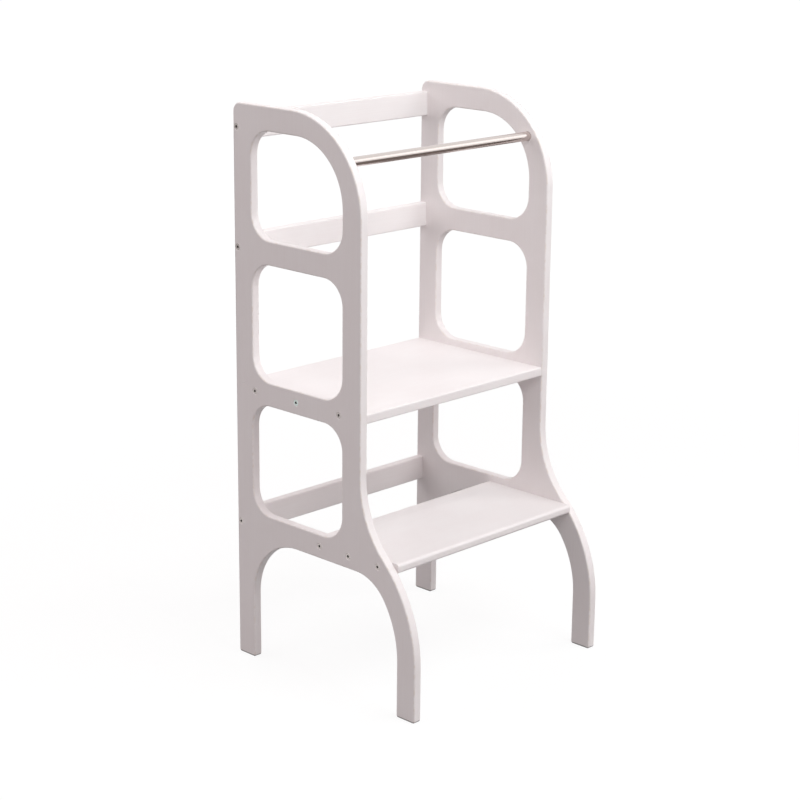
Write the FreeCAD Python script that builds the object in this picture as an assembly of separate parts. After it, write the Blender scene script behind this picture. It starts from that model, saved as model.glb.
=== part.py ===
"""Child's kitchen helper stool: two cut-out plywood side panels joined by
a standing platform, a step, three back rails and a steel grab bar.

Units are millimetres.  X runs across the stool, -Y is its front, +Z is up.
The origin is on the floor, at the middle of the footprint.
Places on a side panel are written as (depth, height): depth is measured
forwards from the panel's back edge, height upwards from the floor.
"""
import FreeCAD, Part
import math
import os

Vector = FreeCAD.Vector

# Overall sizes
total_height = 900.0        # floor to the top edge of the side panels
clear_width = 400.0         # between the inner faces of the side panels
foot_depth = 398.0          # back edge to the front of the front feet
upper_depth = 280.0         # back edge to the front edge above the step
board = 15.0                # thickness of every plywood board
arris = 2.5                 # radius rounded along the edges of the boards between the panels
panel_arris = 1.8           # flat that breaks the edges of the side panels

# Surfaces and rails, as heights above the floor
step_top = 239.0            # upper face of the step
platform_top = 459.0        # upper face of the platform
bottom_rail_height = 227.0  # middle of the bottom back rail
middle_rail_drop = 224.0    # middle of the middle back rail, below the panels' top
top_rail_drop = 37.5        # middle of the top back rail, below the panels' top
rail_height = 40.0          # height of each back rail

# Platform and step, as depths
platform_inset = 1.0        # platform's front and back edges, inside the panels' edges
step_back = 170.0           # back edge of the step
step_setback = 50.0         # front edge of the step, behind the front of the feet
step_nose_radius = 5.0      # rounding of the step's front edge

# Side panel: widths left between the cut-outs
band = 38.0                 # height of the level bands that carry the boards
stile = 40.0                # width of the uprights beside the upper two windows
leg_width = 38.0            # width of the four legs

# Side panel: radii of the outline, named from the top down
back_top_radius = 15.0      # corner above the top rail
front_top_radius = 150.0    # sweep from the top edge to the front edge
hollow_radius = 160.0       # inward curve where the front edge runs out to the foot
shin_radius = 218.0         # outward curve below it, down to the straight foot
foot_straight = 86.0        # height at which the foot's front edge turns vertical
foot_corner = 4.0           # corners of the feet on the floor

# Side panel: arch between the front and the back leg
arch_back_radius = 95.0     # curve from the back leg to the top of the arch
arch_front_radius = 158.0   # curve up the inside of the front leg
arch_front_straight = 89.0  # height at which that curve starts
arch_front_blend = 74.0     # curve that joins it to the top of the arch

# Side panel: corners of the three windows
window_corner = 40.0
window_front_top_radius = 100.0     # large corner, beside the front top sweep

# Grab bar: steel tube held in blind sockets
bar_diameter = 15.0
bar_wall = 1.5
bar_angle = 38.0            # place round the front top sweep, above level, degrees
bar_edge_distance = 17.0    # bar's axis to the outer edge of the panel
bar_socket_depth = 10.0
bar_clearance = 0.25        # round the bar and at each of its ends

# Confirmat screws: countersunk head, plain neck, thick shank, hex socket
screw_length = 50.0
head_diameter = 10.0
head_cone = 2.0             # height of the countersunk head
neck_diameter = 7.0         # plain neck, through the side panel
shank_diameter = 5.0        # core of the threaded shank, in the board
hex_across = 4.0            # across the flats of the socket
hex_depth = 2.6
head_recess = 0.3           # head's face below the panel's outer face
screw_clearance = 0.1       # round the screw in its holes
pilot_spare = 2.0           # hole depth beyond the screw's tip

# Flats round a screw and round each hole for a fixing: within 0.2 mm of a true circle
fixing_sides = 12

# Rows of screws along the ends of the boards
screws_per_board = 3
platform_first_screw = 43.0     # from the platform's back edge
platform_last_screw = 46.0      # from its front edge
step_first_screw = 20.5         # from the step's back edge
step_last_screw = 30.5          # from its front edge

# Wooden dowels: they stop a rail turning on its screw, and line up the boards
dowel_diameter = 6.0        # across the ridges between its flutes
dowel_ridges = 12
dowel_length = 30.0
dowel_in_panel = 10.0       # length of the dowel inside the side panel
dowel_clearance = 0.1       # round the dowel and at each of its ends
rail_dowel_offset = 12.0    # each side of a rail's screw

# Places worked out from the sizes above
half_clear = clear_width / 2
half_width = half_clear + board
back_y = foot_depth / 2
platform_middle = platform_top - board / 2
step_middle = step_top - board / 2
arch_top = step_middle - band / 2
top_rail_height = total_height - top_rail_drop
middle_rail_height = total_height - middle_rail_drop
platform_depth = upper_depth - 2 * platform_inset
step_depth = foot_depth - step_setback - step_back


def place(x, depth, height):
    """The point at x across the stool and (depth, height) on a side panel."""
    return Vector(x, back_y - depth, height)


def arc(centre, radius, start, end):
    """An arc as its edge and its two ends; angles from forwards towards up."""
    def point(angle):
        turn = math.radians(angle)
        depth = centre[0] + radius * math.cos(turn)
        return place(-half_width, depth, centre[1] + radius * math.sin(turn))
    first, last = point(start), point(end)
    edge = Part.Arc(first, point((start + end) / 2), last).toShape()
    return edge, first, last


def closed_face(arcs):
    """The flat face inside a chain of arcs joined by straight edges."""
    edges = []
    following = arcs[1:] + arcs[:1]
    for (edge, first, last), (_, start, _) in zip(arcs, following):
        edges.append(edge)
        if last.distanceToPoint(start) > 1e-6:
            edges.append(Part.makeLine(last, start))
    return Part.Face(Part.Wire(edges))


def front_sweep():
    """The centre of the large curve at the front top of the panel."""
    return (upper_depth - front_top_radius, total_height - front_top_radius)


def front_edge_arcs():
    """The hollow and the shin: two curves that meet in line with each other."""
    spread = foot_depth - upper_depth
    reach = hollow_radius + shin_radius
    rise = math.sqrt(reach ** 2 - (reach - spread) ** 2)
    hollow = (upper_depth + hollow_radius, foot_straight + rise)
    shin = (foot_depth - shin_radius, foot_straight)
    turn = math.degrees(math.atan2(hollow[1] - shin[1], hollow[0] - shin[0]))
    return [arc(hollow, hollow_radius, 180, 180 + turn),
            arc(shin, shin_radius, turn, 0)]


def arch_arcs():
    """The curves of the arch, from the front leg back to the back leg."""
    front = (foot_depth - leg_width - arch_front_radius, arch_front_straight)
    blend_height = arch_top - arch_front_blend
    slant = arch_front_radius - arch_front_blend
    climb = blend_height - arch_front_straight
    blend = (front[0] + math.sqrt(slant ** 2 - climb ** 2), blend_height)
    turn = math.degrees(math.asin(climb / slant))
    back = (leg_width + arch_back_radius, arch_top - arch_back_radius)
    return [arc(front, arch_front_radius, 0, turn),
            arc(blend, arch_front_blend, turn, 90),
            arc(back, arch_back_radius, 90, 180)]


def foot_arcs(front_of_leg, back_of_leg):
    """The two rounded corners under one leg."""
    return [arc((front_of_leg - foot_corner, foot_corner), foot_corner, 0, -90),
            arc((back_of_leg + foot_corner, foot_corner), foot_corner, -90, -180)]


def panel_outline():
    """The outer edge of a side panel, clockwise from its back top corner."""
    back_top = (back_top_radius, total_height - back_top_radius)
    return ([arc(back_top, back_top_radius, 180, 90),
             arc(front_sweep(), front_top_radius, 90, 0)]
            + front_edge_arcs()
            + foot_arcs(foot_depth, foot_depth - leg_width)
            + arch_arcs()
            + foot_arcs(leg_width, 0))


def window(back, sill, head, front_top_corner):
    """One window in a side panel, from its back edge to the front stile."""
    front = upper_depth - stile
    corners = [(back, sill, window_corner, 270, 180),
               (back, head, window_corner, 180, 90),
               (front, head, front_top_corner, 90, 0),
               (front, sill, window_corner, 0, -90)]
    arcs = []
    for depth, height, radius, start, end in corners:
        inward = radius if depth == back else -radius
        upward = radius if height == sill else -radius
        arcs.append(arc((depth + inward, height + upward), radius, start, end))
    return closed_face(arcs)


def windows():
    """The three windows, each between two of the level bands."""
    levels = [step_middle, platform_middle, middle_rail_height]
    sills = [level + band / 2 for level in levels]
    heads = [level - band / 2 for level in levels[1:]] + [total_height - band]
    backs = [leg_width, stile, stile]
    tops = [window_corner, window_corner, window_front_top_radius]
    return [window(*sizes) for sizes in zip(backs, sills, heads, tops)]


def runs_across(edge):
    """True for an edge that runs along X."""
    ends = [vertex.Point for vertex in edge.Vertexes]
    return len(ends) == 2 and abs(ends[0].x - ends[1].x) > board / 2


def blank_panel():
    """The left side panel with its windows, before any hole is drilled."""
    face = closed_face(panel_outline())
    for opening in windows():
        face = face.cut(opening)
    solid = face.extrude(Vector(board, 0, 0)).Solids[0]
    return solid.makeChamfer(panel_arris, [edge for edge in solid.Edges if not runs_across(edge)])


def cross_board(back, depth, bottom, height, nose=arris):
    """A board between the panels, its long edges rounded, the front ones by nose."""
    corner = place(-half_clear, back + depth, bottom)
    solid = Part.makeBox(clear_width, depth, height, corner)
    for y, radius in ((corner.y, nose), (corner.y + depth, arris)):
        edges = [edge for edge in solid.Edges
                 if runs_across(edge) and abs(edge.CenterOfMass.y - y) < 1e-6]
        solid = solid.makeFillet(radius, edges)
    return solid


def ring(x, radius, sides):
    """The corners of a regular polygon about the X axis."""
    turns = [2 * math.pi * i / sides for i in range(sides)]
    return [Vector(x, radius * math.cos(turn), radius * math.sin(turn)) for turn in turns]


def faceted(points, sides):
    """A flat-sided solid about the X axis, through rings given as (x, radius)."""
    rings = [ring(x, radius, sides) for x, radius in points]
    outlines = [rings[0], rings[-1]]
    for back, front in zip(rings, rings[1:]):
        outlines += [[back[i - 1], back[i], front[i], front[i - 1]] for i in range(sides)]
    faces = [Part.Face(Part.makePolygon(outline + outline[:1])) for outline in outlines]
    return Part.Solid(Part.Shell(faces))


def drilled_space(points):
    """The same for a round hole, with the middles of its flats at the radius."""
    to_corner = 1 / math.cos(math.pi / fixing_sides)
    return faceted([(x, radius * to_corner) for x, radius in points], fixing_sides)


def hex_socket():
    """The hexagonal hole in a screw's head."""
    corner = hex_across / 2 / math.cos(math.radians(30))
    return faceted([(0, corner), (hex_depth, corner)], 6)


def screw():
    """A screw that points along +X, with its head's face at the origin."""
    head, neck, shank = head_diameter / 2, neck_diameter / 2, shank_diameter / 2
    neck_end = board - head_recess - screw_clearance
    body = faceted([(0, head), (head_cone, neck), (neck_end, neck), (neck_end, shank),
                    (screw_length, shank)], fixing_sides)
    return body.cut(hex_socket())


def screw_hole():
    """The hole for that screw: countersunk through the panel, then its pilot."""
    neck = neck_diameter / 2 + screw_clearance
    shank = shank_diameter / 2 + screw_clearance
    flare = (head_diameter - neck_diameter) / 2 / head_cone
    mouth = head_diameter / 2 + screw_clearance + head_recess * flare
    end = screw_length + head_recess + pilot_spare
    space = drilled_space([(0, mouth), (head_recess + head_cone, neck), (board, neck),
                           (board, shank), (end, shank)])
    return space.translated(Vector(-head_recess, 0, 0))


def dowel():
    """A fluted dowel along +X from its end in the panel, its flutes drawn as flats."""
    radius = dowel_diameter / 2
    return faceted([(0, radius), (dowel_length, radius)], dowel_ridges)


def dowel_hole():
    """The hole that one dowel shares between the panel and the board."""
    radius = dowel_diameter / 2 + dowel_clearance
    return drilled_space([(-dowel_clearance, radius), (dowel_length + dowel_clearance, radius)])


def bar_place():
    """Where the bar's axis crosses a side panel, as (depth, height)."""
    centre = front_sweep()
    reach = front_top_radius - bar_edge_distance
    turn = math.radians(bar_angle)
    return centre[0] + reach * math.cos(turn), centre[1] + reach * math.sin(turn)


def bar_cylinder(diameter, socket_length):
    """A round bar across the stool that enters each panel by socket_length."""
    start = place(-half_clear - socket_length, *bar_place())
    return Part.makeCylinder(diameter / 2, clear_width + 2 * socket_length, start, Vector(1, 0, 0))


def grab_bar():
    """The steel tube, a little shorter than the two sockets allow."""
    reach = bar_socket_depth - bar_clearance
    bore = bar_cylinder(bar_diameter - 2 * bar_wall, reach)
    return bar_cylinder(bar_diameter, reach).cut(bore)


def row_of_fixings(first, last, height):
    """Screws from first to last along the end of a board, a dowel between each two."""
    pitch = (last - first) / (screws_per_board - 1)
    screws = [(first + pitch * i, height) for i in range(screws_per_board)]
    dowels = [(first + pitch * (i + 0.5), height) for i in range(screws_per_board - 1)]
    return screws, dowels


def rail_fixings(height):
    """One screw in the middle of a rail's end, with a dowel above and below."""
    depth = board / 2
    offsets = (-rail_dowel_offset, rail_dowel_offset)
    return [(depth, height)], [(depth, height + offset) for offset in offsets]


rail_heights = {"rail_top": top_rail_height,
                "rail_middle": middle_rail_height,
                "rail_bottom": bottom_rail_height}
fixings = {"platform": row_of_fixings(platform_inset + platform_first_screw,
                                      platform_inset + platform_depth - platform_last_screw,
                                      platform_middle),
           "step": row_of_fixings(step_back + step_first_screw,
                                  step_back + step_depth - step_last_screw, step_middle)}
fixings.update({name: rail_fixings(height) for name, height in rail_heights.items()})


def at_places(shape, x, places):
    """Copies of a shape made at the origin, set at x on the left panel."""
    return [shape.translated(place(x, depth, height)) for depth, height in places]


def left_screws(shape, places):
    return at_places(shape, -half_width + head_recess, places)


def left_dowels(shape, places):
    return at_places(shape, -half_clear - dowel_in_panel, places)


def left_holes(name):
    """Every hole that the left end of one cross piece shares with its panel."""
    screws, dowels = fixings[name]
    return left_screws(screw_hole(), screws) + left_dowels(dowel_hole(), dowels)


def other_side(shape):
    return shape.mirror(Vector(0, 0, 0), Vector(1, 0, 0))


def drilled(solid, tools):
    return solid.cut(Part.makeCompound(tools)).Solids[0]


def side_panel():
    """The left side panel with all its holes and the bar's blind socket."""
    holes = [bar_cylinder(bar_diameter + 2 * bar_clearance, bar_socket_depth)]
    for name in fixings:
        holes += left_holes(name)
    return drilled(blank_panel(), holes)


def cross_piece(name, *sizes):
    """One board or rail with the holes in both of its ends."""
    holes = left_holes(name)
    return drilled(cross_board(*sizes), holes + [other_side(hole) for hole in holes])


def save(node, solids):
    shape = solids[0] if len(solids) == 1 else Part.makeCompound(solids)
    assert shape.isValid(), node
    shape.exportStep("parts/" + node + ".step")
    print(node, len(solids), "solids", round(sum(solid.Volume for solid in solids)), "mm3")


def save_both_sides(node, solids):
    save(node + "_left", solids)
    save(node + "_right", [other_side(solid) for solid in solids])


def build():
    os.makedirs("parts", exist_ok=True)
    save_both_sides("side_panel", [side_panel()])
    platform_bottom = platform_top - board
    save("platform_board", [cross_piece("platform", platform_inset, platform_depth,
                                        platform_bottom, board)])
    save("step_board", [cross_piece("step", step_back, step_depth, step_top - board,
                                    board, step_nose_radius)])
    for name, middle in rail_heights.items():
        save("back_" + name, [cross_piece(name, 0, board, middle - rail_height / 2, rail_height)])
    save("grab_bar", [grab_bar()])
    for name, (screws, dowels) in fixings.items():
        save_both_sides("screws_" + name, left_screws(screw(), screws))
        save_both_sides("dowels_" + name, left_dowels(dowel(), dowels))


build()
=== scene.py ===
"""Looks of the child's kitchen helper stool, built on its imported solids.

The frame is in metres: X runs across the stool, -Y is its front, +Z is up.
Places on a side panel are written as (depth, height), with the depth measured
forwards from the panel's back edge. Sizes are in millimetres where a name says
so or where they go through mm().
"""
import bpy
import math
from mathutils import Matrix, Vector
from mathutils.geometry import tessellate_polygon


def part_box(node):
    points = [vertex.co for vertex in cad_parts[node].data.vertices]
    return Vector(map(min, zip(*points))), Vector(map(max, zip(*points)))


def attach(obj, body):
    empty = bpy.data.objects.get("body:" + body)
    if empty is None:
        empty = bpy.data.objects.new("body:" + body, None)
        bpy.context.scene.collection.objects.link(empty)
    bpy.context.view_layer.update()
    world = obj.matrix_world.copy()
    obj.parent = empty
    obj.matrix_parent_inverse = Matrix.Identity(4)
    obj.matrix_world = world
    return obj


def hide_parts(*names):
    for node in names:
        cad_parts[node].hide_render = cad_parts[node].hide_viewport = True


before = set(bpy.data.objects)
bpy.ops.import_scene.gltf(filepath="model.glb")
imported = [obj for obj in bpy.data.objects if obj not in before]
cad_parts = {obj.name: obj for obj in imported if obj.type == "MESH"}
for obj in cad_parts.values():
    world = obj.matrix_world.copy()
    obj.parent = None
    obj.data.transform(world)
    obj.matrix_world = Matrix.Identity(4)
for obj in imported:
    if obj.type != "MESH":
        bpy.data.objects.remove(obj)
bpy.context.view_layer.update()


def mm(size):
    """Millimetres as metres."""
    return size * 0.001


# Sizes read from the solids
panel_low, panel_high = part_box("side_panel_left")
half_width = -panel_low.x
half_clear = -panel_high.x
board = half_width - half_clear
back_y = panel_high.y
foot_depth = panel_high.y - panel_low.y
total_height = panel_high.z


def extent(node):
    """A cross piece as (back depth, front depth, bottom, top)."""
    low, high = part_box(node)
    return back_y - high.y, back_y - low.y, low.z, high.z


platform = extent("platform_board")
step = extent("step_board")
rails = {name: extent("back_" + name) for name in ("rail_top", "rail_middle", "rail_bottom")}
bar = extent("grab_bar")
bar_radius = (bar[3] - bar[2]) / 2
bar_centre = ((bar[0] + bar[1]) / 2, (bar[2] + bar[3]) / 2)
bar_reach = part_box("grab_bar")[1].x
step_middle = (step[2] + step[3]) / 2
platform_middle = (platform[2] + platform[3]) / 2
middle_rail = (rails["rail_middle"][2] + rails["rail_middle"][3]) / 2

# Side panel: its outline and its windows
panel_arris = mm(2.5)           # radius that a router leaves along the panel's edges
band = mm(38)
stile = mm(40)
leg_width = mm(38)
upper_depth = mm(280)
back_top_radius = mm(15)
front_top_radius = mm(150)
hollow_radius = mm(160)
shin_radius = mm(218)
foot_straight = mm(86)
foot_corner = mm(4)
arch_back_radius = mm(101)
arch_front_radius = mm(158)
arch_front_straight = mm(89)
arch_front_blend = mm(74)
arch_sag = mm(1)
window_corner = mm(40)
window_front_top_radius = mm(100)

# Cross pieces
rail_arris = mm(2.5)
step_nose = mm(5)
end_arris = mm(0.35)            # edge that the saw and the primer leave at a board's ends

# Screws
head_radius = mm(5)
head_cone = mm(2)
head_recess = mm(0.3)           # how far the head's face lies below the panel's
head_break = mm(0.25)           # flat round the head's face
neck_radius = mm(3.5)
shank_radius = mm(2.5)
screw_length = mm(50)
screw_tip = mm(4)
thread_depth = mm(1.0)
thread_pitch = mm(3.0)
thread_setback = mm(1)          # from the panel's inner face to the first turn
hex_sides = 6
hex_across = mm(4)
hex_depth = mm(2.6)

# Dowels
dowel_radius = mm(3)
dowel_length = mm(30)
dowel_in_panel = mm(10)
dowel_ridges = 12
dowel_sections = 31
dowel_chamfer = mm(1)
dowel_end_share = 0.75          # width of a dowel's end, as a share of its width
flute_depth = mm(0.3)
rail_dowel_offset = mm(12)

# Holes
fixing_gap = mm(0.1)
pilot_spare = mm(2)
mouth_break_width = mm(0.25)    # soft edge of the paint round a screw's hole
mouth_break_depth = mm(0.2)

# Grab bar
bar_wall = mm(1.5)
bar_gap = mm(0.25)
bar_break = mm(0.3)             # flat round the tube's ends and the mouth of its socket

# A pinhole that the filler left, on the outside of the left panel
pinhole_place = (mm(17.3), mm(459.2))
pinhole_radius = mm(1.3)
pinhole_depth = mm(1.6)
pinhole_taper = 0.7             # its floor's width, as a share of its mouth's

arc_step = math.radians(2.5)    # between two points along a curve
round_steps = 6                 # faces across a rounded edge
bore_sides = 40
spin_seed = 5


# ---------------------------------------------------------------- outlines

def arc(centre, radius, start, end, hollow=False):
    """Points of an arc with their outward normals; angles from forwards towards up."""
    start, end = math.radians(start), math.radians(end)
    count = max(2, math.ceil(abs(end - start) / arc_step))
    points = []
    for i in range(count + 1):
        turn = start + (end - start) * i / count
        away = Vector((math.cos(turn), math.sin(turn)))
        points.append((Vector(centre) + radius * away, -away if hollow else away))
    return points


def front_edge():
    """The hollow and the shin of the front edge, two curves in line with each other."""
    spread = foot_depth - upper_depth
    reach = hollow_radius + shin_radius
    rise = math.sqrt(reach ** 2 - (reach - spread) ** 2)
    hollow = (upper_depth + hollow_radius, foot_straight + rise)
    shin = (foot_depth - shin_radius, foot_straight)
    turn = math.degrees(math.atan2(hollow[1] - shin[1], hollow[0] - shin[0]))
    return (arc(hollow, hollow_radius, 180, 180 + turn, hollow=True)
            + arc(shin, shin_radius, turn, 0)[1:])


def arch():
    """The arch from the front leg back to the back leg."""
    arch_top = step_middle - band / 2 - arch_sag
    front = (foot_depth - leg_width - arch_front_radius, arch_front_straight)
    blend_height = arch_top - arch_front_blend
    slant = arch_front_radius - arch_front_blend
    climb = blend_height - arch_front_straight
    blend = (front[0] + math.sqrt(slant ** 2 - climb ** 2), blend_height)
    turn = math.degrees(math.asin(climb / slant))
    back = (leg_width + arch_back_radius, arch_top - arch_back_radius)
    return (arc(front, arch_front_radius, 0, turn, hollow=True)
            + arc(blend, arch_front_blend, turn, 90, hollow=True)[1:]
            + arc(back, arch_back_radius, 90, 180, hollow=True))


def foot(front_of_leg, back_of_leg):
    """The two corners of a leg on the floor."""
    return (arc((front_of_leg - foot_corner, foot_corner), foot_corner, 0, -90)
            + arc((back_of_leg + foot_corner, foot_corner), foot_corner, -90, -180))


def panel_outline():
    """The outer edge of a side panel, from its back top corner over the top to the front."""
    back_top = (back_top_radius, total_height - back_top_radius)
    sweep = (upper_depth - front_top_radius, total_height - front_top_radius)
    return (arc(back_top, back_top_radius, 180, 90)
            + arc(sweep, front_top_radius, 90, 0)
            + front_edge()
            + foot(foot_depth, foot_depth - leg_width)
            + arch()
            + foot(leg_width, 0))


def box_outline(back, front, low, high, radii, hollow=False):
    """A box with rounded corners; radii run back top, front top, front low, back low."""
    corners = ((back, high, 180), (front, high, 90), (front, low, 0), (back, low, -90))
    points = []
    for (depth, height, start), radius in zip(corners, radii):
        inward = radius if depth == back else -radius
        upward = radius if height == low else -radius
        points += arc((depth + inward, height + upward), radius, start, start - 90, hollow)
    return points


def windows():
    """The three windows of a side panel, each between two of its level bands."""
    levels = [step_middle, platform_middle, middle_rail]
    heads = levels[1:] + [total_height - band / 2]
    backs = [leg_width, stile, stile]
    front_tops = [window_corner, window_corner, window_front_top_radius]
    return [box_outline(back, upper_depth - stile, low + band / 2, high - band / 2,
                        (window_corner, front_top, window_corner, window_corner), hollow=True)
            for low, high, back, front_top in zip(levels, heads, backs, front_tops)]


# ---------------------------------------------------------------- skins

class Skin:
    """The faces of one piece, with a normal for each corner and a wear value for each point."""

    def __init__(self):
        self.points = []
        self.wear = []
        self.faces = []
        self.normals = []
        self.finishes = []
        self.finish = 0         # which of its finishes the next faces take

    def add_points(self, points, wear=0.0):
        first = len(self.points)
        self.points += points
        self.wear += [wear] * len(points)
        return list(range(first, len(self.points)))

    def add_face(self, corners, normals):
        """One face, wound so that it looks the way its normals point."""
        a, b, c = (self.points[i] for i in corners[:3])
        if (b - a).cross(c - a).dot(normals[0] + normals[1] + normals[2]) < 0:
            corners, normals = corners[::-1], normals[::-1]
        self.faces.append(corners)
        self.normals += normals
        self.finishes.append(self.finish)

    def add_strip(self, ring_a, ring_b, normals_a, normals_b):
        """A closed band of faces between two rings of the same count."""
        for i in range(len(ring_a)):
            j = (i + 1) % len(ring_a)
            self.add_face([ring_a[i], ring_a[j], ring_b[j], ring_b[i]],
                          [normals_a[i], normals_a[j], normals_b[j], normals_b[i]])

    def add_flat(self, rings, normal):
        """A flat face across X inside the first ring, open at the others."""
        flat = [[Vector((self.points[i].y, self.points[i].z, 0)) for i in ring] for ring in rings]
        names = [i for ring in rings for i in ring]
        for triangle in tessellate_polygon(flat):
            self.add_face([names[i] for i in triangle], [normal] * 3)

    def build(self, name, *finishes):
        """The piece as an object at the origin."""
        mesh = bpy.data.meshes.new(name)
        mesh.from_pydata(self.points, [], self.faces)
        mesh.shade_smooth()
        mesh.normals_split_custom_set(self.normals)
        wear = mesh.attributes.new("wear", "FLOAT", "POINT")
        wear.data.foreach_set("value", self.wear)
        for finish in finishes:
            mesh.materials.append(finish)
        mesh.polygons.foreach_set("material_index", self.finishes)
        piece = bpy.data.objects.new(name, mesh)
        bpy.context.scene.collection.objects.link(piece)
        return piece


def at(x, flat_point):
    """A (depth, height) point of the side view, at x across the stool."""
    return Vector((x, back_y - flat_point[0], flat_point[1]))


def facing(flat_normal):
    """A (depth, height) direction of the side view."""
    return Vector((0, -flat_normal[0], flat_normal[1]))


def edge_rings(outline, x_low, x_high, radius):
    """Rings across a board's edge, rounded at both faces: (points, normals, wear) each."""
    rings = []
    for face_x, side in ((x_low, -1), (x_high, 1)):
        turns = [math.pi / 2 * i / round_steps for i in range(round_steps + 1)]
        if side > 0:
            turns.reverse()
        for turn in turns:
            inset = radius * (1 - math.sin(turn))
            x = face_x - side * radius * (1 - math.cos(turn))
            points = [at(x, point - normal * inset) for point, normal in outline]
            normals = [Vector((side * math.cos(turn), 0, 0)) + facing(normal) * math.sin(turn)
                       for _, normal in outline]
            rings.append((points, normals, math.sin(2 * turn)))
    return rings


def circle(place, radius, x):
    """A bore's ring and the directions from it towards the bore's axis."""
    outline = arc_ring(place, radius)
    return [at(x, point) for point, _ in outline], [facing(-normal) for _, normal in outline]


def arc_ring(place, radius):
    """Points round a full circle with their outward normals."""
    turns = [2 * math.pi * i / bore_sides for i in range(bore_sides)]
    rays = [Vector((math.cos(turn), math.sin(turn))) for turn in turns]
    return [(Vector(place) + radius * ray, ray) for ray in rays]


def sink_bore(skin, place, face_x, side, profile, closed):
    """A bore from the face at face_x into the board, along (distance in, radius) points.

    side is -1 on a face that looks along -X. The rings at both ends are returned.
    """
    rings = []
    for distance, radius in profile:
        points, inwards = circle(place, radius, face_x - side * distance)
        rings.append((skin.add_points(points), inwards))
    for (ring_a, inwards), (ring_b, _), (start, end) in zip(
            rings, rings[1:], zip(profile, profile[1:])):
        run, fall = end[0] - start[0], start[1] - end[1]
        outwards = Vector((side, 0, 0))
        normals = [(inward * run + outwards * fall).normalized() for inward in inwards]
        skin.add_strip(ring_a, ring_b, normals, normals)
    if closed:
        skin.add_flat([rings[-1][0]], Vector((side, 0, 0)))
    return rings[0][0], rings[-1][0]


def build_board(name, finish, outlines, x_low, x_high, radius, bores):
    """A board across X: its outline, the outlines of its windows, and its bores.

    bores are (place, side, profile, through), with the side whose face they start on.
    """
    skin = Skin()
    rims = {-1: [], 1: []}
    for outline in outlines:
        rings = [(skin.add_points(points, wear), normals)
                 for points, normals, wear in edge_rings(outline, x_low, x_high, radius)]
        for (ring_a, normals_a), (ring_b, normals_b) in zip(rings, rings[1:]):
            skin.add_strip(ring_a, ring_b, normals_a, normals_b)
        rims[-1].append(rings[0][0])
        rims[1].append(rings[-1][0])
    for place, side, profile, through in bores:
        face_x = x_low if side < 0 else x_high
        mouth, far_end = sink_bore(skin, place, face_x, side, profile, not through)
        rims[side].append(mouth)
        if through:
            rims[-side].append(far_end)
    for side in (-1, 1):
        skin.add_flat(rims[side], Vector((side, 0, 0)))
    return skin.build(name, finish)


# ---------------------------------------------------------------- fixings

def screw_row(node):
    """The screws of a board's end as (depth, height), from the box of their solids."""
    back, front, low, high = extent(node)
    height = (low + high) / 2
    first, last = back + head_radius, front - head_radius
    if last - first < head_radius:
        return [(first, height)]
    return [(first, height), ((first + last) / 2, height), (last, height)]


def dowels_of(screws):
    """Dowels between the screws of a board, or above and below the one of a rail."""
    if len(screws) == 1:
        depth, height = screws[0]
        return [(depth, height - rail_dowel_offset), (depth, height + rail_dowel_offset)]
    return [((a[0] + b[0]) / 2, a[1]) for a, b in zip(screws, screws[1:])]


cross_names = ["platform", "step", "rail_top", "rail_middle", "rail_bottom"]
screws = {name: screw_row(f"screws_{name}_left") for name in cross_names}
dowels = {name: dowels_of(screws[name]) for name in cross_names}


def panel_bores(outer_side):
    """All that is drilled into a side panel whose outer face looks to outer_side."""
    flare = (head_radius - neck_radius) / head_cone
    mouth = head_radius + fixing_gap + head_recess * flare
    neck = neck_radius + fixing_gap
    countersunk = [(0, mouth + mouth_break_width), (mouth_break_depth, mouth),
                   (head_recess + head_cone, neck), (board, neck)]
    blind = [(0, dowel_radius + fixing_gap),
             (dowel_in_panel + fixing_gap, dowel_radius + fixing_gap)]
    socket = bar_radius + bar_gap
    bar_seat = [(0, socket + bar_break), (bar_break, socket),
                (bar_reach + bar_gap - half_clear, socket)]
    bores = [(bar_centre, -outer_side, bar_seat, False)]
    for name in cross_names:
        bores += [(place, outer_side, countersunk, True) for place in screws[name]]
        bores += [(place, -outer_side, blind, False) for place in dowels[name]]
    if outer_side < 0:
        pit = [(0, pinhole_radius), (pinhole_depth, pinhole_radius * pinhole_taper)]
        bores.append((pinhole_place, outer_side, pit, False))
    return bores


def board_bores(name):
    """Pilot holes for the screws and blind holes for the dowels, in both ends of a board."""
    pilot = [(0, shank_radius + fixing_gap),
             (screw_length + head_recess + pilot_spare - board, shank_radius + fixing_gap)]
    blind = [(0, dowel_radius + fixing_gap),
             (dowel_length - dowel_in_panel + fixing_gap, dowel_radius + fixing_gap)]
    return [(place, side, profile, False) for side in (-1, 1)
            for places, profile in ((screws[name], pilot), (dowels[name], blind))
            for place in places]


# ---------------------------------------------------------------- node trees

def add_node(tree, kind, inputs=None, **settings):
    """A node with its settings; inputs take a value or another node's output."""
    node = tree.nodes.new(kind)
    for name, value in settings.items():
        setattr(node, name, value)
    for name, value in (inputs or {}).items():
        if isinstance(value, bpy.types.NodeSocket):
            tree.links.new(value, node.inputs[name])
        else:
            node.inputs[name].default_value = value
    return node


def linear(colour):
    """An sRGB hex colour as linear RGBA."""
    channels = [int(colour[i:i + 2], 16) / 255 for i in (1, 3, 5)]
    return [c / 12.92 if c <= 0.04045 else ((c + 0.055) / 1.055) ** 2.4 for c in channels] + [1]


def new_material(name):
    """An empty material with its output node."""
    material = bpy.data.materials.new(name)
    material.use_nodes = True
    tree = material.node_tree
    tree.nodes.clear()
    return material, tree, add_node(tree, "ShaderNodeOutputMaterial")


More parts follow.
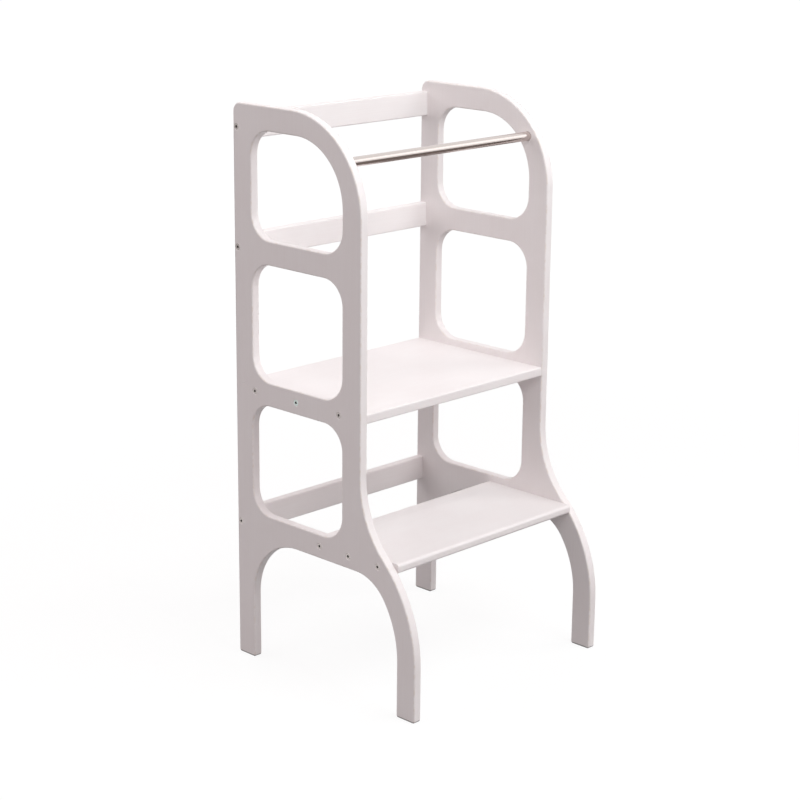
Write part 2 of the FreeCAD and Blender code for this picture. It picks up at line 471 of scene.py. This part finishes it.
def stretched_noise(tree, cell, detail=2.0, seed=0.0):
    """Noise whose cells have that size along X, Y and Z, in millimetres."""
    place = add_node(tree, "ShaderNodeTexCoord").outputs["Object"]
    scaled = add_node(tree, "ShaderNodeMapping", {"Vector": place, "Location": [seed] * 3,
                                                  "Scale": [1 / mm(size) for size in cell]})
    noise = add_node(tree, "ShaderNodeTexNoise", {"Vector": scaled.outputs["Vector"], "Scale": 1.0,
                                                  "Detail": detail, "Roughness": 0.55})
    return noise.outputs["Fac"]


def spread(tree, value, low, high, from_low=0.3, from_high=0.7):
    """A value brought from one range to another."""
    return add_node(tree, "ShaderNodeMapRange",
                    {"Value": value, "From Min": from_low, "From Max": from_high,
                     "To Min": low, "To Max": high}).outputs["Result"]


def blend_colours(tree, factor, a, b):
    """Two colours, hex or linked, mixed by a factor."""
    mix = add_node(tree, "ShaderNodeMix", data_type="RGBA")
    tree.links.new(factor, mix.inputs[0])
    for socket, colour in ((mix.inputs[6], a), (mix.inputs[7], b)):
        if isinstance(colour, str):
            socket.default_value = linear(colour)
        else:
            tree.links.new(colour, socket)
    return mix.outputs[2]


def bump(tree, height, distance, under=None):
    """A bump of that many millimetres over another one."""
    inputs = {"Height": height, "Distance": mm(distance)}
    if under is not None:
        inputs["Normal"] = under
    return add_node(tree, "ShaderNodeBump", inputs).outputs["Normal"]


def seen_directly(tree):
    """1 for the camera, and for what shows in gloss and through glass; 0 for other light."""
    path = add_node(tree, "ShaderNodeLightPath").outputs
    seen = path["Is Camera Ray"]
    for ray in ("Is Glossy Ray", "Is Transmission Ray"):
        seen = add_node(tree, "ShaderNodeMath", {0: seen, 1: path[ray]},
                        operation="MAXIMUM").outputs[0]
    return seen


def sprayed_birch_plywood(name, grain_axis):
    """Birch plywood sprayed with a satin white furniture paint.

    The spray leaves a fine orange peel, the rotary-cut veneer under it shows as faint long
    ridges along grain_axis, and the film is thinner and a little warmer on rounded edges.
    The lowest few millimetres of the legs are painted dark: painted contact shade where the feet
    stand on the floor.
    """
    material, tree, output = new_material(name)
    along = [1.4, 1.4, 1.4]
    along[grain_axis] = 90.0
    grain = stretched_noise(tree, along, detail=3.0, seed=3.0)
    cloud = stretched_noise(tree, [70, 70, 70], detail=2.0, seed=11.0)
    # the real orange peel is about 1 mm across: drawn at 3.5 mm, so that the render shows it
    peel = stretched_noise(tree, [3.5, 3.5, 3.5], detail=1.0, seed=7.0)
    patches = spread(tree, stretched_noise(tree, [9, 9, 9], detail=3.0, seed=5.0),
                     0.0, 0.55, 0.45, 0.75)
    wear = add_node(tree, "ShaderNodeAttribute", attribute_name="wear").outputs["Fac"]
    worn = add_node(tree, "ShaderNodeMath", {0: wear, 1: patches},
                    operation="MULTIPLY").outputs[0]
    film = blend_colours(tree, spread(tree, cloud, 0.0, 1.0), "#f6f1f1", "#f4eeee")
    film = blend_colours(tree, spread(tree, grain, 0.0, 0.25), film, "#ece4e3")
    colour = blend_colours(tree, worn, film, "#e3d2c2")
    place = add_node(tree, "ShaderNodeTexCoord").outputs["Object"]
    height = add_node(tree, "ShaderNodeSeparateXYZ", {0: place}).outputs["Z"]
    # painted contact shade: the paint turns dark grey-brown near the floor, fully below 1.5 mm and
    # fading out by 3.5 mm
    painted_contact_shade = spread(tree, height, 1.0, 0.0, mm(1.5), mm(3.5))
    colour = blend_colours(tree, painted_contact_shade, colour, "#4a433f")
    normal = bump(tree, peel, 0.05)
    normal = bump(tree, grain, 0.035, normal)
    shader = add_node(tree, "ShaderNodeBsdfPrincipled",
                      {"Base Color": colour, "Roughness": spread(tree, peel, 0.40, 0.52),
                       "Normal": normal, "IOR": 1.5})
    tree.links.new(shader.outputs[0], output.inputs["Surface"])
    return material


def ground_stainless_tube():
    """Stainless tube, centreless ground and satin polished.

    The grit runs round the tube, so its scratches are fine rings that smear a reflection
    lengthwise, and handling leaves cloudy, duller patches.
    """
    material, tree, output = new_material("ground_stainless_tube")
    # the real scratches are under 0.1 mm apart: drawn at 0.5 mm, so that the render shows them
    rings = stretched_noise(tree, [0.5, 8, 8], detail=2.0, seed=2.0)
    cloud = stretched_noise(tree, [25, 6, 6], detail=3.0, seed=9.0)
    colour = blend_colours(tree, spread(tree, rings, 0.0, 1.0), "#dfd5d1", "#d4cac6")
    shader = add_node(tree, "ShaderNodeBsdfPrincipled",
                      {"Base Color": colour, "Metallic": 1.0,
                       "Roughness": spread(tree, cloud, 0.08, 0.15),
                       "Normal": bump(tree, rings, 0.003)})
    tree.links.new(shader.outputs[0], output.inputs["Surface"])
    return material


def bright_zinc_plate():
    """Zinc on a cold-headed steel screw: a soft grey shine, slightly mottled.

    In a batch from the drum some heads come out brighter and cooler.
    """
    material, tree, output = new_material("bright_zinc_plate")
    mottle = stretched_noise(tree, [1.2, 1.2, 1.2], detail=2.0, seed=4.0)
    shade = add_node(tree, "ShaderNodeAttribute", attribute_name="shade").outputs["Fac"]
    colour = blend_colours(tree, spread(tree, mottle, 0.0, 1.0), "#c7bfbc", "#b4adaa")
    colour = blend_colours(tree, spread(tree, shade, 0.0, 1.0, 0.5, 0.95), colour, "#c9d3cf")
    shader = add_node(tree, "ShaderNodeBsdfPrincipled",
                      {"Base Color": colour, "Metallic": 1.0,
                       "Roughness": spread(tree, mottle, 0.34, 0.46),
                       "Normal": bump(tree, mottle, 0.01)})
    tree.links.new(shader.outputs[0], output.inputs["Surface"])
    return material


def socket_painted_shade():
    """The socket's walls and floor, dark and dull: painted shade in the recess, where the plating
    is also thin.
    """
    material, tree, output = new_material("socket_painted_shade")
    mottle = stretched_noise(tree, [0.8, 0.8, 0.8], detail=2.0, seed=8.0)
    # painted shade: dark grey for the inside of the hex socket
    colour = blend_colours(tree, spread(tree, mottle, 0.0, 1.0), "#5d5654", "#77706d")
    shader = add_node(tree, "ShaderNodeBsdfPrincipled",
                      {"Base Color": colour, "Metallic": 0.6,
                       "Roughness": spread(tree, mottle, 0.6, 0.75)})
    tree.links.new(shader.outputs[0], output.inputs["Surface"])
    return material


def turned_beech():
    """Bare beech, turned: pale tan with short darker flecks along the dowel."""
    material, tree, output = new_material("turned_beech")
    flecks = stretched_noise(tree, [3.0, 0.35, 0.35], detail=2.0, seed=6.0)
    shade = add_node(tree, "ShaderNodeAttribute", attribute_name="shade").outputs["Fac"]
    wood = blend_colours(tree, shade, "#dcb98c", "#cfa878")
    colour = blend_colours(tree, spread(tree, flecks, 0.0, 1.0, 0.4, 0.65), wood, "#b98d5e")
    shader = add_node(tree, "ShaderNodeBsdfPrincipled",
                      {"Base Color": colour, "Roughness": spread(tree, flecks, 0.55, 0.7),
                       "Normal": bump(tree, flecks, 0.03), "IOR": 1.5})
    tree.links.new(shader.outputs[0], output.inputs["Surface"])
    return material


def white_paper_floor():
    """White paper that shows its own white to the camera and in gloss.

    Near the stool a seventh of that white is the light that falls on the paper, so the
    stool's shadow stays; further off, where the lamps fade, the paper is white by itself.
    The light that it throws back is that of a grey floor.
    """
    material, tree, output = new_material("white_paper_floor")
    near_share = 0.85
    near, far = 1.0, 2.4        # metres from the middle of the stool
    seen = seen_directly(tree)
    paper = add_node(tree, "ShaderNodeBsdfDiffuse",
                     {"Color": blend_colours(tree, seen, "#898989", "#ffffff")})
    white = add_node(tree, "ShaderNodeEmission", {"Color": (1, 1, 1, 1), "Strength": 1.02})
    place = add_node(tree, "ShaderNodeTexCoord").outputs["Object"]
    distance = add_node(tree, "ShaderNodeVectorMath", {0: place},
                        operation="LENGTH").outputs["Value"]
    share = spread(tree, distance, near_share, 1.0, near, far)
    factor = add_node(tree, "ShaderNodeMath", {0: seen, 1: share}, operation="MULTIPLY")
    mix = add_node(tree, "ShaderNodeMixShader", {0: factor.outputs[0], 1: paper.outputs[0],
                                                 2: white.outputs[0]})
    tree.links.new(mix.outputs[0], output.inputs["Surface"])
    return material


# ---------------------------------------------------------------- repeated fixings

def new_tree(name, finish, sizes, kept_finish=None):
    """A geometry tree with a points input and named sizes, ending in Set Material.

    Faces that already have the kept finish stay as they are.
    """
    tree = bpy.data.node_groups.new(name, "GeometryNodeTree")
    face = tree.interface
    face.new_socket("Geometry", in_out="INPUT", socket_type="NodeSocketGeometry")
    for size, value in sizes.items():
        kind = "NodeSocketInt" if isinstance(value, int) else "NodeSocketFloat"
        face.new_socket(size, in_out="INPUT", socket_type=kind).default_value = value
    face.new_socket("Geometry", in_out="OUTPUT", socket_type="NodeSocketGeometry")
    entry = add_node(tree, "NodeGroupInput").outputs
    painted = add_node(tree, "GeometryNodeSetMaterial", {"Material": finish})
    if kept_finish:
        kept = add_node(tree, "GeometryNodeMaterialSelection", {"Material": kept_finish})
        other = add_node(tree, "FunctionNodeBooleanMath", {0: kept.outputs[0]}, operation="NOT")
        tree.links.new(other.outputs[0], painted.inputs["Selection"])
    leave = add_node(tree, "NodeGroupOutput")
    tree.links.new(painted.outputs[0], leave.inputs[0])
    return tree, entry, painted.inputs["Geometry"]


def half(tree, size):
    """Half of a linked size."""
    return add_node(tree, "ShaderNodeMath", {0: size, 1: 0.5}, operation="MULTIPLY").outputs[0]


def on_x(tree, shape, start):
    """A shape made along Z, laid along +X from the distance start."""
    offset = add_node(tree, "ShaderNodeCombineXYZ", {"X": start}).outputs[0]
    turn = (0, math.pi / 2, 0)
    return add_node(tree, "GeometryNodeTransform",
                    {"Geometry": shape, "Translation": offset, "Rotation": turn}).outputs[0]


def set_on_points(tree, entry, shape, target):
    """A shape that points along +X, set on every point and turned towards the middle.

    Each copy keeps a random shade for its material.
    """
    place = add_node(tree, "GeometryNodeInputPosition").outputs[0]
    x = add_node(tree, "ShaderNodeSeparateXYZ", {0: place}).outputs["X"]
    on_right = add_node(tree, "FunctionNodeCompare", {0: x, 1: 0.0}, operation="GREATER_THAN")
    half_turn = add_node(tree, "ShaderNodeMath", {0: on_right.outputs[0], 1: math.pi},
                         operation="MULTIPLY").outputs[0]
    spin, shade = [
        [s for s in add_node(tree, "FunctionNodeRandomValue",
                             {"Max": most, "Seed": entry[seed]}).outputs if s.enabled][0]
        for most, seed in ((math.pi, "Spin Seed"), (1.0, "Shade Seed"))]
    turn = add_node(tree, "ShaderNodeCombineXYZ", {"X": spin, "Z": half_turn}).outputs[0]
    copies = add_node(tree, "GeometryNodeInstanceOnPoints",
                      {"Points": entry["Geometry"], "Instance": shape, "Rotation": turn})
    shaded = add_node(tree, "GeometryNodeStoreNamedAttribute",
                      {"Geometry": copies.outputs[0], "Name": "shade", "Value": shade},
                      domain="INSTANCE")
    real = add_node(tree, "GeometryNodeRealizeInstances", {"Geometry": shaded.outputs[0]})
    tree.links.new(real.outputs[0], target)


def screw_body(plate, shaded_socket_plate):
    """One screw along +X without its thread, with its head's face at the origin."""
    skin = Skin()

    def ring(x, radius, count=bore_sides):
        """A ring of points across the screw, with the directions out of it."""
        turns = [2 * math.pi * i / count for i in range(count)]
        rays = [Vector((0, math.cos(turn), math.sin(turn))) for turn in turns]
        return skin.add_points([Vector((x, 0, 0)) + radius * ray for ray in rays]), rays

    neck_end = board - head_recess - fixing_gap
    section = [(0, head_radius - head_break), (head_break, head_radius),
               (head_cone, neck_radius), (neck_end, neck_radius), (neck_end, shank_radius),
               (screw_length - screw_tip, shank_radius), (screw_length, shank_radius / 2)]
    rings = [ring(x, radius) for x, radius in section]
    for (ring_a, rays), (ring_b, _), (x, radius), (next_x, next_radius) in zip(
            rings, rings[1:], section, section[1:]):
        slope = Vector((radius - next_radius, 0, 0))
        normals = [(ray * (next_x - x) + slope).normalized() for ray in rays]
        skin.add_strip(ring_a, ring_b, normals, normals)
    skin.add_flat([rings[-1][0]], Vector((1, 0, 0)))
    corner = hex_across / 2 / math.cos(math.pi / hex_sides)
    mouth, rays = ring(0, corner, hex_sides)
    skin.add_flat([rings[0][0], mouth], Vector((-1, 0, 0)))
    # the socket's faces take the second finish, which paints shade into the recess
    skin.finish = 1
    floor, _ = ring(hex_depth, corner, hex_sides)
    for i in range(hex_sides):
        j = (i + 1) % hex_sides
        inward = -(rays[i] + rays[j]).normalized()
        skin.add_face([mouth[i], mouth[j], floor[j], floor[i]], [inward] * 4)
    skin.add_flat([floor], Vector((-1, 0, 0)))
    return skin.build("screw_body", plate, shaded_socket_plate)


def screw_tree(finish, shaded_socket_finish, body):
    """Confirmat screws: the body with a coarse wood thread, set on each point."""
    thread_start = board + thread_setback
    tree, entry, target = new_tree("confirmat_screws", finish, {
        "Core Diameter": 2 * shank_radius, "Thread Start": thread_start,
        "Thread Run": screw_length - screw_tip - thread_start, "Thread Depth": thread_depth,
        "Thread Pitch": thread_pitch, "Spin Seed": spin_seed, "Shade Seed": 94}, shaded_socket_finish)
    core = half(tree, entry["Core Diameter"])
    turns = add_node(tree, "ShaderNodeMath", {0: entry["Thread Run"], 1: entry["Thread Pitch"]},
                     operation="DIVIDE").outputs[0]
    helix = add_node(tree, "GeometryNodeCurveSpiral",
                     {"Resolution": 16, "Rotations": turns, "Start Radius": core,
                      "End Radius": core, "Height": entry["Thread Run"]}).outputs[0]
    ridge = add_node(tree, "GeometryNodeCurvePrimitiveCircle",
                     {"Resolution": 4, "Radius": entry["Thread Depth"]}).outputs[0]
    thread = add_node(tree, "GeometryNodeCurveToMesh",
                      {"Curve": helix, "Profile Curve": ridge, "Fill Caps": True}).outputs[0]
    thread = on_x(tree, thread, entry["Thread Start"])
    master = add_node(tree, "GeometryNodeObjectInfo", {"Object": body}).outputs["Geometry"]
    both = add_node(tree, "GeometryNodeJoinGeometry")
    for part in (master, thread):
        tree.links.new(part, both.inputs[0])
    set_on_points(tree, entry, both.outputs[0], target)
    return tree


def dowel_tree(finish):
    """Fluted beech dowels with their ends chamfered."""
    tree, entry, target = new_tree("fluted_dowels", finish, {
        "Diameter": 2 * dowel_radius, "Length": dowel_length, "Ridges": dowel_ridges,
        "Flute Depth": flute_depth, "Chamfer": dowel_chamfer, "Sections": dowel_sections,
        "Spin Seed": spin_seed, "Shade Seed": 2})
    radius = half(tree, entry["Diameter"])
    root = add_node(tree, "ShaderNodeMath", {0: radius, 1: entry["Flute Depth"]},
                    operation="SUBTRACT").outputs[0]
    section = add_node(tree, "GeometryNodeCurveStar",
                       {"Points": entry["Ridges"], "Inner Radius": root, "Outer Radius": radius})
    end = add_node(tree, "ShaderNodeCombineXYZ", {"X": entry["Length"]}).outputs[0]
    axis = add_node(tree, "GeometryNodeCurvePrimitiveLine", {"End": end}).outputs[0]
    axis = add_node(tree, "GeometryNodeResampleCurve",
                    {"Curve": axis, "Count": entry["Sections"]}).outputs[0]
    along = add_node(tree, "GeometryNodeSplineParameter").outputs["Length"]
    left = add_node(tree, "ShaderNodeMath", {0: entry["Length"], 1: along},
                    operation="SUBTRACT").outputs[0]
    nearest = add_node(tree, "ShaderNodeMath", {0: along, 1: left}, operation="MINIMUM").outputs[0]
    taper = add_node(tree, "ShaderNodeMapRange",
                     {"Value": nearest, "From Min": 0.0, "From Max": entry["Chamfer"],
                      "To Min": dowel_end_share, "To Max": 1.0}).outputs["Result"]
    solid = add_node(tree, "GeometryNodeCurveToMesh",
                     {"Curve": axis, "Profile Curve": section.outputs[0], "Fill Caps": True,
                      "Scale": taper})
    set_on_points(tree, entry, solid.outputs[0], target)
    return tree


def set_fixings(name, tree, points):
    """One mesh of all the fixings of a kind, set by their tree on the given points."""
    host = bpy.data.objects.new(name + "_points", bpy.data.meshes.new(name + "_points"))
    host.data.from_pydata(points, [], [])
    bpy.context.scene.collection.objects.link(host)
    host.modifiers.new("Fixings", "NODES").node_group = tree
    bpy.context.view_layer.update()
    whole = bpy.data.meshes.new_from_object(host.evaluated_get(
        bpy.context.evaluated_depsgraph_get()))
    bpy.data.objects.remove(host)
    piece = bpy.data.objects.new(name, whole)
    whole.name = name
    bpy.context.scene.collection.objects.link(piece)
    return piece


# ---------------------------------------------------------------- pieces

def settle(piece, slot, *nodes):
    """The piece moves with the stool and stands for these solids."""
    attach(piece, "root")
    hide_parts(*nodes)


def build_panels(finish):
    """Both side panels, each cut out and drilled."""
    outlines = [panel_outline()] + windows()
    for side, name in ((-1, "left"), (1, "right")):
        low, high = sorted((side * half_width, side * half_clear))
        piece = build_board("cut_out_side_" + name, finish, outlines, low, high,
                            panel_arris, panel_bores(side))
        settle(piece, "painted_board", "side_panel_" + name)


def build_cross_pieces(finish):
    """The platform, the step and the three back rails."""
    places = {"platform": ("platform_board", platform), "step": ("step_board", step)}
    places.update({name: ("back_" + name, rails[name]) for name in rails})
    for name, (node, (back, front, low, high)) in places.items():
        nose = step_nose if name == "step" else rail_arris
        outline = box_outline(back, front, low, high, (rail_arris, nose, nose, rail_arris))
        piece = build_board("painted_" + name, finish, [outline], -half_clear, half_clear,
                            end_arris, board_bores(name))
        settle(piece, "painted_board", node)


def build_grab_bar(finish):
    """The tube: outside, bore and two ring ends, with the outer edges broken."""
    skin = Skin()
    bore = bar_radius - bar_wall
    section = [(-bar_reach, bar_radius - bar_break), (bar_break - bar_reach, bar_radius),
               (bar_reach - bar_break, bar_radius), (bar_reach, bar_radius - bar_break),
               (bar_reach, bore), (-bar_reach, bore)]
    rings = []
    for x, radius in section:
        outline = arc_ring(bar_centre, radius)
        rings.append((skin.add_points([at(x, point) for point, _ in outline]),
                      [facing(normal) for _, normal in outline]))
    for i, (x, radius) in enumerate(section):
        next_x, next_radius = section[(i + 1) % len(section)]
        ring, outwards = rings[i]
        next_ring = rings[(i + 1) % len(section)][0]
        run, fall = next_x - x, radius - next_radius
        normals = [(outward * run + Vector((fall, 0, 0))).normalized() for outward in outwards]
        skin.add_strip(ring, next_ring, normals, normals)
    settle(skin.build("stainless_grab_bar", finish), "stainless_tube", "grab_bar")


def on_both_sides(places, x):
    """Points on the left side at -x, then on the right side at x."""
    return [at(side * x, place) for side in (-1, 1) for place in places]


def build_fixings(zinc, shaded_socket_zinc, beech):
    """All the screws as one piece, and all the dowels as another."""
    sides = ("left", "right")
    all_screws = [place for name in cross_names for place in screws[name]]
    body = screw_body(zinc, shaded_socket_zinc)
    piece = set_fixings("confirmat_screws", screw_tree(zinc, shaded_socket_zinc, body),
                        on_both_sides(all_screws, half_width - head_recess))
    bpy.data.objects.remove(body)
    settle(piece, "zinc_screw", *[f"screws_{n}_{s}" for n in cross_names for s in sides])
    all_dowels = [place for name in cross_names for place in dowels[name]]
    piece = set_fixings("fluted_dowels", dowel_tree(beech),
                        on_both_sides(all_dowels, half_clear + dowel_in_panel))
    settle(piece, "beech_dowel", *[f"dowels_{n}_{s}" for n in cross_names for s in sides])


# ---------------------------------------------------------------- studio

def build_stage():
    """A white floor, which keeps a faint shadow, and a white surround."""
    reach = 30.0                # metres, out to where the floor meets the surround
    corners = [(-reach, -reach, 0), (reach, -reach, 0), (reach, reach, 0), (-reach, reach, 0)]
    mesh = bpy.data.meshes.new("studio_floor")
    mesh.from_pydata(corners, [], [(0, 1, 2, 3)])
    mesh.materials.append(white_paper_floor())
    floor = bpy.data.objects.new("studio_floor", mesh)
    bpy.context.scene.collection.objects.link(floor)


def build_world():
    """An even surround: white to the camera and in gloss, dimmer as light."""
    world = bpy.data.worlds.new("studio")
    world.use_nodes = True
    tree = world.node_tree
    tree.nodes.clear()
    light = add_node(tree, "ShaderNodeBackground", {"Color": linear("#ffeff0"), "Strength": 0.41})
    white = add_node(tree, "ShaderNodeBackground", {"Color": (1, 1, 1, 1), "Strength": 1.0})
    mix = add_node(tree, "ShaderNodeMixShader", {0: seen_directly(tree), 1: light.outputs[0],
                                                 2: white.outputs[0]})
    output = add_node(tree, "ShaderNodeOutputWorld")
    tree.links.new(mix.outputs[0], output.inputs["Surface"])
    bpy.context.scene.world = world


def add_softbox(name, place, size, power, colour="#ffffff", in_gloss=True):
    """A square area lamp at place that looks at the middle of the stool; metres and watts."""
    lamp = bpy.data.lights.new(name, "AREA")
    lamp.shape = "SQUARE"
    lamp.size = size
    lamp.energy = power
    lamp.color = linear(colour)[:3]
    box = bpy.data.objects.new(name, lamp)
    stool_middle = Vector((0, 0, 0.5))
    direction = stool_middle - Vector(place)
    box.matrix_world = (Matrix.Translation(Vector(place))
                        @ direction.to_track_quat("-Z", "Y").to_matrix().to_4x4())
    box.visible_glossy = in_gloss
    bpy.context.scene.collection.objects.link(box)


def build_lamps():
    """Softboxes in a ring round the stool, and one over its front.

    The bar box is faint: it shows only as a paler band along the top of the grab bar.
    """
    add_softbox("front_box", (0.3, -3.2, 1.6), 1.8, 27)
    add_softbox("top_front_box", (0.05, -1.1, 2.2), 0.9, 12, "#f0ffff")
    add_softbox("front_left_box", (-2.0, -1.8, 2.4), 1.5, 15)
    add_softbox("front_right_box", (2.0, -1.8, 2.4), 1.5, 20, in_gloss=False)
    add_softbox("back_left_box", (-2.0, 1.8, 2.4), 2.6, 19.5)
    add_softbox("back_box", (0, 2.4, 2.4), 2.6, 23.5)
    add_softbox("bar_box", (1.68, -1.5, 1.75), 1.2, 2.6)


def build_reflection_card():
    """A grey sheet on the floor that only gloss sees, for painted dark reflections.

    The sheets to the right of the stool and before it paint a dark reflection along the tube's
    lower edge. The one far to its left takes the floor's sheen off the top of the left panel.
    """
    right = ((0.25, -3.6), (5.0, 0.5))
    before = ((-0.2, -3.6), (0.25, -0.3))
    far_left = ((-6.0, 0.0), (-1.8, 6.0))
    thickness = mm(2)
    points = [(x, y, thickness) for low, high in (right, before, far_left)
              for x, y in (low, (high[0], low[1]), high, (low[0], high[1]))]
    mesh = bpy.data.meshes.new("dark_mat")
    corners = range(len(points))
    mesh.from_pydata(points, [], [corners[i:i + 4] for i in corners[::4]])
    material, tree, output = new_material("painted_reflection_grey")
    # painted reflection: a grey that only gloss rays see
    card_diffuse = add_node(tree, "ShaderNodeBsdfDiffuse", {"Color": linear("#7c7470")})
    tree.links.new(card_diffuse.outputs[0], output.inputs["Surface"])
    mesh.materials.append(material)
    card = bpy.data.objects.new("dark_mat", mesh)
    card.visible_camera = False
    card.visible_diffuse = False
    card.visible_transmission = False
    card.visible_shadow = False
    bpy.context.scene.collection.objects.link(card)


def build_camera():
    """The photograph's viewpoint, fitted to the straight edges of both side panels."""
    place = Vector((-2.2133, -2.1104, 1.2942))
    yaw, pitch, roll = 0.7983, 0.2766, 0.0100     # radians: right of +Y, down, clockwise
    focal_pixels = 1995.6
    image_pixels = 800
    forward = Vector((math.sin(yaw) * math.cos(pitch), math.cos(yaw) * math.cos(pitch),
                      -math.sin(pitch)))
    level = Vector((math.cos(yaw), -math.sin(yaw), 0))
    upright = level.cross(forward)
    right = math.cos(roll) * level + math.sin(roll) * upright
    up = math.cos(roll) * upright - math.sin(roll) * level
    lens = bpy.data.cameras.new("view")
    lens.sensor_width = 36.0
    lens.lens = focal_pixels * lens.sensor_width / image_pixels
    lens.clip_end = 100.0
    camera = bpy.data.objects.new("view", lens)
    turn = Matrix((right, up, -forward)).transposed().to_4x4()
    camera.matrix_world = Matrix.Translation(place) @ turn
    bpy.context.scene.collection.objects.link(camera)
    bpy.context.scene.camera = camera


def build():
    """The whole scene. Grain runs up the panels and along the cross pieces."""
    upright_finish = sprayed_birch_plywood("satin_paint_on_birch_panel", 2)
    cross_finish = sprayed_birch_plywood("satin_paint_on_birch_cross_board", 0)
    build_panels(upright_finish)
    build_cross_pieces(cross_finish)
    build_grab_bar(ground_stainless_tube())
    build_fixings(bright_zinc_plate(), socket_painted_shade(), turned_beech())
    build_stage()
    build_reflection_card()
    build_world()
    build_lamps()
    build_camera()
    bpy.context.scene.view_settings.view_transform = "Standard"


build()
